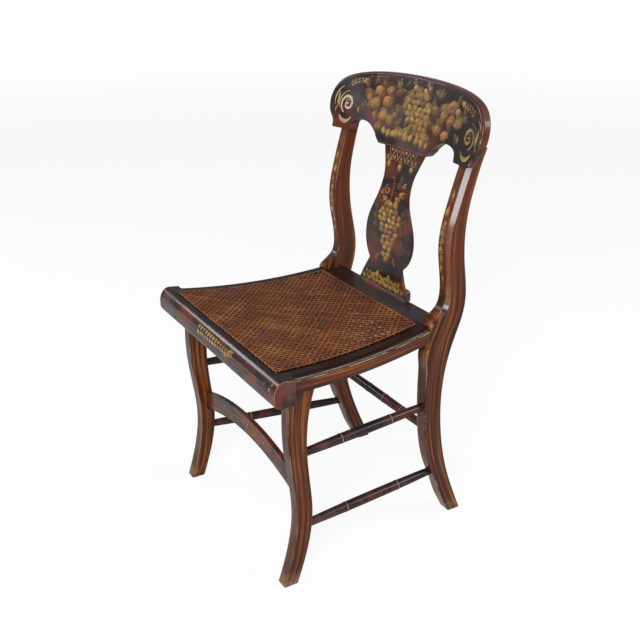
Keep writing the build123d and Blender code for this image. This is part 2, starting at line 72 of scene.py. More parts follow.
# Paint mixes the nodes of its owner, a material or the sky.
class Paint:
    def __init__(self, owner):
        owner.use_nodes = True
        self.owner, self.tree = owner, owner.node_tree
        self.tree.nodes.clear()

    # One node: its type, its settings, then the values or links of its sockets.
    def node(self, kind, settings=None, sockets=None, output=0):
        made = self.tree.nodes.new("ShaderNode" + kind)
        for name, value in (settings or {}).items():
            if name == "stops":
                ramp = made.color_ramp
                while len(ramp.elements) < len(value):
                    ramp.elements.new(1.0)
                for stop, (place, colour) in zip(ramp.elements, value):
                    stop.position = place
                    stop.color = (*colour, 1.0)
            elif name == "points":
                curve = made.mapping.curves[0]
                while len(curve.points) < len(value):
                    curve.points.new(1.0, 1.0)
                for point, (a, b) in zip(curve.points, value):
                    point.location = (a, b)
                made.mapping.update()
            else:
                setattr(made, name, value)
        for name, value in (sockets or {}).items():
            socket = made.inputs[name]
            if isinstance(value, Wire):
                self.tree.links.new(value.socket, socket)
            elif socket.type == "RGBA":
                socket.default_value = (*value, 1.0)
            else:
                socket.default_value = value
        if isinstance(output, tuple):
            return [Wire(self, made.outputs[o]) for o in output]
        return Wire(self, made.outputs[output]) if made.outputs else made

    def maths(self, operation, *values):
        return self.node("Math", {"operation": operation}, dict(enumerate(values)))

    def place(self):
        return self.node("TexCoord", output="Object")

    def stretched(self, place, scale):
        return self.node("Mapping", sockets={"Vector": place, "Scale": scale})

    def xyz(self, vector):
        return self.node("SeparateXYZ", sockets={0: vector}, output=(0, 1, 2))

    # The three parts of the way that the surface faces
    def facing(self):
        return self.xyz(self.node("NewGeometry", output="Normal"))

    def vector(self, x, y, z):
        return self.node("CombineXYZ", sockets={0: x, 1: y, 2: z})

    def noise(self, vector, scale, detail=2.0, roughness=0.5, distortion=0.0):
        return self.node("TexNoise", sockets={"Vector": vector, "Scale": scale, "Detail": detail,
                                              "Roughness": roughness, "Distortion": distortion})

    # 0 below low, 1 above high, smooth in between
    def ease(self, value, low, high):
        return self.node("MapRange", {"interpolation_type": "SMOOTHSTEP"},
                         {"Value": value, "From Min": low, "From Max": high})

    def mix(self, factor, a, b):
        return self.node("Mix", {"data_type": "RGBA"}, {0: factor, 6: a, 7: b}, output=2)

    def ramp(self, value, stops):
        return self.node("ValToRGB", {"stops": stops}, {0: value})

    def curve(self, value, points):
        return self.node("FloatCurve", {"points": points}, {"Value": value})

    def bump(self, height, distance, strength=1.0):
        return self.node("Bump", sockets={"Height": height, "Distance": distance, "Strength": strength})

    def surface(self, **sockets):
        names = {key: " ".join("IOR" if word == "ior" else word.capitalize() for word in key.split("_"))
                 for key in sockets}
        return self.node("BsdfPrincipled", sockets={names[key]: value for key, value in sockets.items()})

    # Varnish lies thicker on rounded and bevelled edges, where the surface faces none of the axes.
    def varnish(self, thin, thick):
        squares = [way * way for way in self.facing()]
        most = self.maths("MAXIMUM", self.maths("MAXIMUM", squares[0], squares[1]), squares[2])
        return thick - self.ease(most, 0.62, 0.85) * (thick - thin)

    # 1 along the edges between a piece's outer side and its other faces
    def arris(self, normalX, low):
        turn = normalX * normalX
        return self.ease(turn * (1 - turn) * 4, low, 0.98)

    def done(self, shader):
        self.node("OutputMaterial", sockets={"Surface": shader})
        return self.owner


def newPaint(name):
    return Paint(bpy.data.materials.new(name))


def dress(names, material):
    for name in names:
        nodes[name].data.materials.clear()
        nodes[name].data.materials.append(material)


shot = {
    "place": (1.3603, -0.8034, 1.0775),
    "azimuth": 59.3,
    "elevation": 23.17,
    "focalPixels": 890.8,
    "framePixels": 640,
    "sensor": 36.0,
}


def setCamera():
    data = bpy.data.cameras.new("camera")
    data.sensor_fit = "HORIZONTAL"
    data.sensor_width = shot["sensor"]
    data.lens = shot["focalPixels"] / shot["framePixels"] * shot["sensor"]
    data.clip_end = 100
    camera = bpy.data.objects.new("camera", data)
    camera.location = shot["place"]
    camera.rotation_euler = (math.radians(90 - shot["elevation"]), 0, math.radians(shot["azimuth"]))
    bpy.context.scene.collection.objects.link(camera)
    bpy.context.scene.camera = camera


white = (1, 1, 1)
studio = {
    "floorHalf": 40.0,
    "floorColour": (0.88, 0.88, 0.88),
    "floorWhite": 0.88,  # how much of the floor's look to the camera is plain white
    "glossWhite": 0.3,  # how much of that white is mirrored in a gloss
    "fade": (4.0, 60.0),  # squares of the distances between which the floor turns all white
    "skyStrength": 0.36,
    "skyColour": (0.93, 0.96, 1.0),
    "aim": (0, 0, 0.45),  # what the lamps point at
    "lamps": {
        "key": {"place": (2.6, -2.1, 3.2), "size": 1.3, "power": 75, "colour": (1.0, 0.98, 0.95)},
        "window": {"place": (2.2, -2.2, 0.95), "size": 0.9, "power": 60, "colour": (0.97, 0.98, 1.0)},
        "fill": {"place": (-0.7, -3.4, 1.7), "size": 2.0, "power": 24, "colour": (0.95, 0.97, 1.0)},
        "side": {"place": (-2.35, -1.36, 1.75), "size": 0.7, "power": 18, "colour": (0.95, 0.97, 1.0)},
        "back": {"place": (1.6, 2.4, 2.0), "size": 1.2, "power": 44, "colour": (0.97, 0.98, 1.0)},
    },
}


def setSky():
    bpy.context.scene.view_settings.view_transform = "Standard"
    world = bpy.data.worlds.new("studio")
    bpy.context.scene.world = world
    sky = Paint(world)
    light = sky.node("Background", sockets={"Color": studio["skyColour"],
                                            "Strength": studio["skyStrength"]})
    backdrop = sky.node("Background", sockets={"Color": white, "Strength": 1.0})
    camera = sky.node("LightPath", output="Is Camera Ray")
    shader = sky.node("MixShader", sockets={0: camera, 1: light, 2: backdrop})
    sky.node("OutputWorld", sockets={"Surface": shader})


def seenDirectly(paint):
    camera, glossy, through = paint.node("LightPath", output=("Is Camera Ray", "Is Glossy Ray",
                                                              "Is Transmission Ray"))
    return paint.maths("MAXIMUM", paint.maths("MAXIMUM", camera, glossy * studio["glossWhite"]), through)


def layFloor():
    half = studio["floorHalf"]
    corners = [(-half, -half, 0), (half, -half, 0), (half, half, 0), (-half, half, 0)]
    mesh = bpy.data.meshes.new("floor")
    mesh.from_pydata(corners, [], [(0, 1, 2, 3)])
    floor = bpy.data.objects.new("floor", mesh)
    bpy.context.scene.collection.objects.link(floor)
    paint = newPaint("paleFloor")
    matte = paint.surface(base_color=studio["floorColour"], roughness=0.9)
    glow = paint.node("Emission", sockets={"Color": white, "Strength": 1.0})
    x, y, _ = paint.xyz(paint.place())
    far = paint.ease(x * x + y * y, *studio["fade"])
    share = far * (1 - studio["floorWhite"]) + studio["floorWhite"]
    mesh.materials.append(paint.done(paint.node("MixShader", sockets={
        0: seenDirectly(paint) * share, 1: matte, 2: glow})))


def hangLamps():
    for name, lamp in studio["lamps"].items():
        data = bpy.data.lights.new(name, "AREA")
        data.size = lamp["size"]
        data.energy = lamp["power"]
        data.color = lamp["colour"]
        light = bpy.data.objects.new(name, data)
        light.location = lamp["place"]
        away = Vector(lamp["place"]) - Vector(studio["aim"])
        light.rotation_euler = away.to_track_quat("Z", "Y").to_euler()
        bpy.context.scene.collection.objects.link(light)


setCamera()
setSky()
layFloor()
hangLamps()
print("camera, floor and lamps are in place")


graining = {
    "ground": (0.011, 0.004, 0.0015),
    "brown": (0.050, 0.0115, 0.003),
    "orange": (0.120, 0.031, 0.005),
    "bright": (0.24, 0.078, 0.012),
    "red": (0.100, 0.020, 0.004),
    "wornWood": (0.38, 0.25, 0.15),
    "dust": (0.15, 0.11, 0.085),
    "stripe": 150.0,  # stripes per metre across the grain
    "run": 3.0,  # changes per metre along it
    "footHeight": 0.035,  # feet are worn up to here
    "redHeights": (0.42, 0.58),  # posts turn red between these
}

# middle holds heights and the depth of the sawn piece's centre line there, in millimetres;
# slope is its splay to the side.
sawnPieces = {
    "legGraining": {
        "pieces": ["left_front_leg", "right_front_leg"],
        "middle": [(0, -186.5), (51, -169), (102, -160), (148, -157), (204, -161), (285, -169),
                   (337, -168), (401, -160)],
        "slope": 0.0,
        "redness": 0.0,
    },
    "postGraining": {
        "pieces": ["left_rear_post", "right_rear_post"],
        "middle": [(0, 215.5), (82, 181), (184, 149), (290, 139), (388, 146), (462, 169), (510, 168),
                   (582, 161), (640, 164), (720, 186), (750, 197)],
        "slope": 0.035,
        "redness": 0.45,
    },
}


# Graining that follows a sawn curve.
def grainPaint(name, look):
    paint, middle = newPaint(name), look["middle"]
    x, y, z = paint.xyz(paint.place())
    top = max(height for height, depth in middle)
    bent = paint.curve(z * (1 / mm / top), [(height / top, 0.5 + depth * mm) for height, depth in middle])
    across = y - (bent - 0.5)
    foot = 1 - paint.ease(z, 0.0, graining["footHeight"])
    red = paint.ease(z, *graining["redHeights"]) * look["redness"]
    return grained(paint, abs(x) - z * look["slope"], across, z, foot, red)


# side runs across the piece's thickness, across over its width and along with its grain, in metres.
def grained(paint, side, across, along, foot=None, red=None, black=None, rub=None):
    stripe, run = graining["stripe"], graining["run"]
    warp = paint.noise(paint.vector(side * 12, across * 12, along * 5), 1.0, 1.0) * 0.9
    broad = paint.noise(paint.vector(side * (0.4 * stripe), across * stripe + warp, along * run),
                        1.0, 2.0, 0.5)
    fine = paint.noise(paint.vector(side * (3 * stripe), across * (4 * stripe), along * (3 * run)),
                       1.0, 2.0, 0.6)
    figure = broad * 0.74 + fine * 0.26
    colour = paint.ramp(figure, [(0.38, graining["ground"]), (0.49, graining["brown"]),
                                 (0.57, graining["orange"]), (0.61, graining["bright"]),
                                 (0.645, graining["orange"]), (0.76, graining["brown"])])
    warmth = paint.ease(paint.noise(paint.place(), 7.0, 2.0, 0.5), 0.35, 0.65)
    colour = paint.mix(warmth * 0.5, colour, graining["brown"])
    if red:
        colour = paint.mix(red, colour, graining["red"])

    # Bare wood along the edges, dust on what faces forward and scuffs all over
    patchy = paint.noise(paint.place(), 24.0, 4.0, 0.6)
    normalX, normalY, _ = paint.facing()
    worn = paint.arris(normalX, 0.55) * paint.ease(patchy, 0.46, 0.66)
    if red:
        worn = worn * (1 - paint.ease(red, 0.0, 0.3))
    colour = paint.mix(worn * 0.6, colour, graining["wornWood"])
    front = paint.ease(normalY * -1.0, 0.5, 0.9) * paint.ease(patchy, 0.40, 0.75)
    colour = paint.mix(front * 0.3, colour, graining["dust"])
    scuffs = paint.ease(paint.noise(paint.place(), 160.0, 3.0, 0.7), 0.68, 0.75)
    colour = paint.mix(scuffs * 0.3, colour, graining["wornWood"])
    if foot:
        colour = paint.mix(foot * paint.ease(patchy, 0.4, 0.6) * 0.3, colour, graining["wornWood"])
    if black:
        colour = paint.mix(black, colour, graining["ground"])
        colour = paint.mix(rub * paint.ease(patchy, 0.42, 0.6) * 0.7, colour, graining["wornWood"])

    roughness = 0.27 + patchy * 0.14 + worn * 0.25 + scuffs * 0.1
    relief = fine * 0.5 + scuffs * 0.5 + broad * 0.3
    return paint.done(paint.surface(base_color=colour, roughness=roughness, specular_ior_level=0.08,
                                    coat_weight=paint.varnish(0.22, 0.48) * (1 - worn * 0.7),
                                    coat_roughness=0.15, normal=paint.bump(relief, 0.00012, 0.4)))


for name, look in sawnPieces.items():
    dress(look["pieces"], grainPaint(name, look))


seat = {
    "front": -206.5,  # front edge of the caning
    "rear": 111.5,
    "low": 420.0,  # height at the middle of the dish
    "rise": 10.0,  # from there up to those two edges
}
rails = {
    "taper": 0.135,  # how fast a side rail runs inwards towards the back
    "black": (0.34, 0.44),  # upward tilts between which the black border begins
    "rub": (0.20, 0.27),  # and its rubbed edge
}


# Height of the dished seat top at a depth: both are in millimetres, or in metres with mm as the unit.
def seatHeight(y, unit=1):
    middle, half = (seat["front"] + seat["rear"]) / 2, (seat["rear"] - seat["front"]) / 2
    share = (y - middle * unit) / (half * unit)
    return share * share * (seat["rise"] * unit) + seat["low"] * unit


# Side rails: the grain runs back along the dish, under a black border beside the caning.
def railPaint():
    paint = newPaint("railGraining")
    x, y, z = paint.xyz(paint.place())
    normalZ = paint.facing()[2]
    black = paint.ease(normalZ, *rails["black"])
    rub = paint.ease(normalZ, *rails["rub"]) * (1 - black)
    across = abs(x) + y * rails["taper"]
    return grained(paint, across, z - seatHeight(y, mm), y, black=black * 0.92, rub=rub)


dress(["left_seat_rail", "right_seat_rail"], railPaint())
print("graining is on the legs, posts and side rails")


japanning = {
    "black": (0.012, 0.008, 0.008),
    "red": (0.105, 0.022, 0.009),
    # varnish bloom and painted sheen
    "bloomAndSheen": (0.095, 0.080, 0.088),
    "wornWood": (0.34, 0.22, 0.13),
    "ring": (0.34, 0.27, 0.18),
}

# red is how much of the warm undercoat shows, the bloom-and-sheen amount how much varnish bloom and painted
# sheen lie over it in bluish-grey patches, gloss its roughness, shine the coat on bevelled edges, rubbed
# the bare wood along edges and edging the red on sawn ones.
# deepen turns the ground black between two places along an axis, and rings are stripes at places
# along one.
turning = {"red": 0.6, "bloomAndSheen": 0.55, "gloss": 0.62}
grounds = {
    "crestGround": {"pieces": ["crest_rail"], "red": 0.85, "bloomAndSheen": 0.5, "gloss": 0.28, "rubbed": 0.1,
                    "shine": 0.6, "deepen": (0, 0.07, 0.15), "edging": 0.75},
    "splatGround": {"pieces": ["back_splat", "splat_shoe"], "red": 0.9, "bloomAndSheen": 0.12, "gloss": 0.26,
                    "rubbed": 0.2, "shine": 0.9},
    "frontRailGround": {"pieces": ["front_seat_rail"], "red": 0.9, "bloomAndSheen": 0.45, "gloss": 0.36,
                        "rubbed": 0.7, "deepen": (1, -0.2175, -0.2115)},
    "rearRailGround": {"pieces": ["rear_seat_rail"], "red": 0.25, "bloomAndSheen": 0.30, "gloss": 0.36},
    "archGround": {"pieces": ["front_stretcher"], "red": 1.0, "bloomAndSheen": 0.10, "gloss": 0.36, "rubbed": 0.4},
    "upperTurning": {"pieces": ["left_upper_stretcher", "right_upper_stretcher"], **turning,
                     "rings": (1, (-71.6, 43.4))},
    "lowerTurning": {"pieces": ["left_lower_stretcher", "right_lower_stretcher"], **turning,
                     "rings": (1, (-57.6, 67.6))},
    "rearTurning": {"pieces": ["rear_stretcher"], **turning, "rings": (0, (-90.2, -29, 29, 90.2))},
}


def darkPaint(name, look):
    look = {"rubbed": 0.0, "shine": 0.35, "rings": None, "deepen": None, "edging": None, **look}
    paint = newPaint(name)
    place = paint.place()
    normalX, normalY, normalZ = paint.facing()
    cloud = paint.noise(place, 17.0, 4.0, 0.62, 0.6)
    streaks = paint.noise(paint.stretched(place, (9, 50, 50)), 1.0, 3.0, 0.6)
    undercoat = paint.ease(cloud * 0.6 + streaks * 0.4, 0.43, 0.62) * look["red"]
    colour = paint.mix(undercoat, japanning["black"], japanning["red"])
    # Bluish-grey patches: partly varnish bloom, partly painted sheen.
    bloomAndSheenPatches = paint.ease(paint.noise(place, 7.0, 3.0, 0.55), 0.50, 0.72)
    colour = paint.mix(bloomAndSheenPatches * look["bloomAndSheen"], colour, japanning["bloomAndSheen"])
    chips = paint.ease(paint.noise(place, 190.0, 3.0, 0.7), 0.69, 0.75)
    colour = paint.mix(chips * 0.35, colour, japanning["wornWood"])
    if look["deepen"]:
        axis, low, high = look["deepen"]
        inView = paint.ease(paint.maths("MAXIMUM", normalY * -1.0, normalZ), 0.4, 0.8)
        colour = paint.mix(paint.ease(paint.xyz(place)[axis], low, high) * inView * 0.85, colour,
                           japanning["black"])
    if look["rings"]:
        axis, spots = look["rings"]
        travel = paint.xyz(place)[axis]
        for spot in spots:
            line = 1 - paint.ease(abs(travel - spot * mm), 0.0006, 0.0011)
            colour = paint.mix(line * paint.ease(cloud, 0.36, 0.52) * 0.6, colour, japanning["ring"])
    if look["edging"]:
        colour = paint.mix((1 - paint.ease(normalY * normalY, 0.3, 0.7)) * look["edging"], colour,
                           japanning["red"])
    worn = paint.arris(normalX, 0.6) * paint.ease(cloud, 0.38, 0.55)
    colour = paint.mix(worn * look["rubbed"], colour, japanning["wornWood"])
    # Painted shade: surfaces that face down are painted black.
    colour = paint.mix(paint.ease(normalZ * -1.0, 0.15, 0.5) * 0.85, colour, japanning["black"])
    crackle = paint.noise(place, 420.0, 2.0, 0.6)
    roughness = look["gloss"] + bloomAndSheenPatches * 0.10 + chips * 0.2
    normal = paint.bump(crackle * 0.6 + streaks, 0.0001, 0.05 if look["rings"] else 0.3)
    coat = paint.varnish(0.26, look["shine"]) * paint.ease(normalZ, -0.7, 0.0)
    return paint.done(paint.surface(base_color=colour, roughness=roughness, specular_ior_level=0.10,
                                    coat_weight=coat, coat_roughness=look["gloss"] * 0.4, normal=normal))


for name, look in grounds.items():
    dress(look["pieces"], darkPaint(name, look))


hardware = {
    "darkWood": (0.30, 0.19, 0.10),
    "paleWood": (0.52, 0.37, 0.21),
    "rust": (0.22, 0.17, 0.13),
    "iron": (0.58, 0.54, 0.48),
}


def plainWood():
    paint = newPaint("bareWood")
    grain = paint.noise(paint.stretched(paint.place(), (60, 400, 400)), 1.0, 3.0, 0.6)
    colour = paint.ramp(grain, [(0.3, hardware["darkWood"]), (0.7, hardware["paleWood"])])
    return paint.done(paint.surface(base_color=colour, roughness=0.55 + grain * 0.2,
                                    normal=paint.bump(grain, 0.0001, 0.5)))


def nailHead():
    paint = newPaint("nailIron")
    spots = paint.noise(paint.place(), 900.0, 3.0, 0.6)
    colour = paint.ramp(spots, [(0.35, hardware["rust"]), (0.65, hardware["iron"])])
    return paint.done(paint.surface(base_color=colour, roughness=0.3 + spots * 0.3, metallic=0.8,
                                    normal=paint.bump(spots, 0.00005, 0.5)))


dress(["front_leg_dowels", "crest_dowels", "front_rail_dowels", "side_rail_dowels", "rear_rail_dowels",
       "cane_pegs"], plainWood())
dress(["rear_stretcher_brads", "splat_brads"], nailHead())
print("dark grounds, turnings and small hardware are painted")


def addMesh(name, points, faces, material, looks=None):
    mesh = bpy.data.meshes.new(name)
    mesh.from_pydata(points, [], faces)
    mesh.shade_smooth()
    if looks:
        layer = mesh.color_attributes.new("look", "FLOAT_COLOR", "POINT")
        for spot, look in zip(layer.data, looks):
            spot.color = (*look, 1.0)
    mesh.materials.append(material)
    piece = bpy.data.objects.new(name, mesh)
    bpy.context.scene.collection.objects.link(piece)
    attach(piece, "root")
    return piece


caning = {
    "frontHalf": 211.8,
    "rearHalf": 168.7,
    "inset": 3.4,  # from the panel's edge in to its line of holes
    "pitch": 12.7,
    "pair": 2.2,  # half the distance between the two strands of a pair
    "strand": 3.9,
    "thick": 2.1,
    "step": 3.2,
    "reach": 480,  # longer than any strand, each way from its start
    "dip": 0.2,  # height at which a strand's end goes down its hole
    "diagonals": (-34, 15),  # first and last, in pitches from the middle of the first row
    "binder": 4.4,
    "binderThick": 1.3,
    "loop": [(-2.9, 0.4), (-1.8, 2.4), (0, 3.1), (1.8, 2.4), (2.9, 0.4)],  # inwards and up
    "loopWide": 2.6,
    "loopThick": 0.9,
}
caneColours = {
    "dark": (0.034, 0.011, 0.004),
    "brown": (0.118, 0.028, 0.007),
    "russet": (0.22, 0.058, 0.012),
    "straw": (0.36, 0.14, 0.040),
    # painted shade for the strands' sides and undersides
    "paintedShade": (0.005, 0.0025, 0.0015),
    "grey": (0.13, 0.11, 0.115),
    "fleck": (0.55, 0.36, 0.20),
}


# Strands of cane: each is a flattened tube with six sides, along points given in millimetres.
class Strands:
    def __init__(self):
        self.points, self.faces, self.looks = [], [], []

    def lay(self, path, width, thick, tone):
        first = len(self.points)
        for k, (x, y, rise) in enumerate(path):
            before, after = path[max(k - 1, 0)], path[min(k + 1, len(path) - 1)]
            way = Vector((after[0] - before[0], after[1] - before[1], 0)).normalized()
            across = Vector((-way.y, way.x, 0)) * (width / 2)
            middle = Vector((x, y, seatHeight(y) + rise))
            up = Vector((0, 0, thick / 2))
            for corner in (middle - across, middle - across / 2 + up, middle + across / 2 + up,
                           middle + across, middle + across / 2 - up, middle - across / 2 - up):
                self.points.append(corner * mm)
                # A corner's look holds its tone and 1 on the upper side, 0 elsewhere; the cane paint turns
                # the other corners near black as painted shade.
                self.looks.append((tone, 1.0 if corner.z > middle.z else 0.0, 0.0))
        for k in range(len(path) - 1):
            for side in range(6):
                a, b = first + 6 * k + side, first + 6 * k + (side + 1) % 6
                self.faces.append((a, b, b + 6, a + 6))
        self.faces.append(tuple(first + side for side in range(5, -1, -1)))
        self.faces.append(tuple(first + 6 * (len(path) - 1) + side for side in range(6)))


def panelHalf(y):
    share = (y - seat["front"]) / (seat["rear"] - seat["front"])
    return caning["frontHalf"] + (caning["rearHalf"] - caning["frontHalf"]) * share - caning["inset"]


def insidePanel(x, y):
    inset = caning["inset"]
    return seat["front"] + inset <= y <= seat["rear"] - inset and abs(x) <= panelHalf(y)


# Points of a straight strand that lie inside the panel, with both ends dipped into their holes.
def clipped(start, way, rise):
    step, dip = caning["step"], caning["dip"]
    count = int(caning["reach"] / step)
    spots = [(start[0] + way[0] * k * step, start[1] + way[1] * k * step) for k in range(-count, count + 1)]
    path = [(x, y, rise(x, y)) for x, y in spots if insidePanel(x, y)]
    if len(path) < 4:
        return None
    return [(*path[0][:2], dip), *path[1:-1], (*path[-1][:2], dip)]


# Pairs from front to back, pairs across over them, and diagonals both ways on top. The lower a layer lies,
# the darker its tone: painted shade under the layers above.
def weave(strands):
    pitch, pair = caning["pitch"], caning["pair"]
    front, diagonal = seat["front"] + caning["inset"] + pitch / 2, math.sqrt(0.5)
    columns = math.ceil(caning["frontHalf"] / pitch)
    rows = math.ceil((seat["rear"] - seat["front"]) / pitch)
    firstDiagonal, lastDiagonal = caning["diagonals"]
    wave = lambda travel: math.cos(math.pi * travel / pitch)

    def add(start, way, rise, tone):
        path = clipped(start, way, rise)
        if path:
            strands.lay(path, caning["strand"], caning["thick"], tone + chance.uniform(-0.2, 0.2))

    for i in range(-columns, columns + 1):
        for shift in (-pair, pair):
            lean = 0.25 * math.copysign(1, shift) * (-1) ** i
            add((i * pitch + shift, 0), (0, 1),
                lambda x, y: 0.7 + lean + 0.3 * wave(y - front) * (-1) ** i, 0.1)
    for j in range(rows):
        for shift in (-pair, pair):
            add((0, front + j * pitch + shift), (1, 0),
                lambda x, y: 1.2 - 0.3 * wave(x) * (-1) ** j, 0.3)
    for k in range(firstDiagonal, lastDiagonal + 1):
        offset = (k + 0.5) * pitch
        add((offset, front), (diagonal, diagonal), lambda x, y: 2.0 + 0.25 * wave(2 * x), 0.75)
        add((-offset, front), (-diagonal, diagonal), lambda x, y: 2.0 - 0.25 * wave(2 * x), 0.75)


# A flat strand lies along each edge of the panel, and loops hold it down at the holes.
def bindEdge(strands):
    rear, front = seat["rear"] - caning["inset"], seat["front"] + caning["inset"]
    corners = [(-panelHalf(front), front), (panelHalf(front), front), (panelHalf(rear), rear),
               (-panelHalf(rear), rear)]
    for start, end in zip(corners, corners[1:] + corners[:1]):
        way = Vector((end[0] - start[0], end[1] - start[1]))
        inward = Vector((-way.y, way.x)).normalized()
        count = max(1, round(way.length / caning["pitch"]))
        edge = [Vector(start) + way * (k / (4 * count)) for k in range(4 * count + 1)]
        strands.lay([(p.x, p.y, 1.9 + 0.35 * math.cos(math.pi * k / 2)) for k, p in enumerate(edge)],
                    caning["binder"], caning["binderThick"], 0.95)
        for k in range(count + 1):
            spot = Vector(start) + way * ((k + 0.5) / (count + 1))
            loop = [(spot.x + inward.x * reach, spot.y + inward.y * reach, rise)
                    for reach, rise in caning["loop"]]
            strands.lay(loop, caning["loopWide"], caning["loopThick"], chance.random())


def canePaint():
    paint = newPaint("agedCane")
    place = paint.place()
    tone, top, _ = paint.xyz(paint.node("Attribute", {"attribute_name": "look"}, output="Color"))
    blotch = paint.noise(place, 16.0, 4.0, 0.65)
    fibre = paint.noise(place, 700.0, 3.0, 0.6)
    shade = tone * 0.45 + blotch * 0.75 + fibre * 0.2
    colour = paint.ramp(shade, [(0.42, caneColours["dark"]), (0.62, caneColours["brown"]),
                                (0.82, caneColours["russet"]), (1.0, caneColours["straw"])])
    # Painted shade: the strands' sides and undersides, and so the gaps between strands, are painted near
    # black.
    colour = paint.mix(paint.ease(top, 0.40, 0.95) * 0.93 + 0.07, caneColours["paintedShade"], colour)
    rubbed = paint.ease(paint.noise(place, 9.0, 3.0, 0.6), 0.56, 0.72) * paint.ease(fibre, 0.4, 0.6)
    colour = paint.mix(rubbed * top * 0.35, colour, caneColours["grey"])
    flecks = paint.ease(paint.noise(place, 260.0, 2.0, 0.7), 0.70, 0.76)
    colour = paint.mix(flecks * 0.6, colour, caneColours["fleck"])
    return paint.done(paint.surface(base_color=colour, roughness=0.36 + blotch * 0.2,
                                    specular_ior_level=0.2, coat_weight=0.08, coat_roughness=0.25,
                                    normal=paint.bump(fibre, 0.0001, 0.5)))


strands = Strands()
weave(strands)
bindEdge(strands)
panel = addMesh("cane_weave", strands.points, strands.faces, canePaint(), strands.looks)
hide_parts("cane_seat")
print("the cane is woven:", len(strands.faces), "faces")


# Bronze-powder stencils: a look is (tone, strength, shade), tone runs from olive through gold and
# amber to cream, and the strength fades the paint where it is thin.
olive, gold, amber, cream = 0.0, 0.35, 0.68, 1.0
bronze = {
    "powders": [(olive, (0.16, 0.105, 0.034)), (gold, (0.49, 0.275, 0.055)),
                (amber, (0.44, 0.175, 0.042)), (cream, (0.60, 0.51, 0.36))],
    "shaded": (0.040, 0.018, 0.008),
    "lift": 0.08,  # height of the lowest shapes above the surface
    "coat": 0.025,  # each shape lies higher by this, so that neighbours don't cut through each other
    "coats": 5,  # after so many the next lies low again
    "light": (-0.6, 0.8),  # where the bright side of a shape faces on its page
}


def giltPaint():
    paint = newPaint("bronzeStencil")
    place = paint.place()
    tone, strength, shade = paint.xyz(paint.node("Attribute", {"attribute_name": "look"}, output="Color"))
    colour = paint.ramp(tone, bronze["powders"])
    powder = paint.noise(place, 900.0, 2.0, 0.7)
    colour = paint.mix((1 - shade) * 0.9, colour, bronze["shaded"])
    rubbed = paint.ease(paint.noise(place, 60.0, 5.0, 0.7), 0.36, 0.58)
    alpha = paint.maths("MINIMUM", strength * (0.40 + rubbed * 0.5 + powder * 0.25), 1.0)
    return paint.done(paint.surface(base_color=colour, roughness=0.34 + powder * 0.15, metallic=0.25,
                                    coat_weight=0.3, coat_roughness=0.15, alpha=alpha))


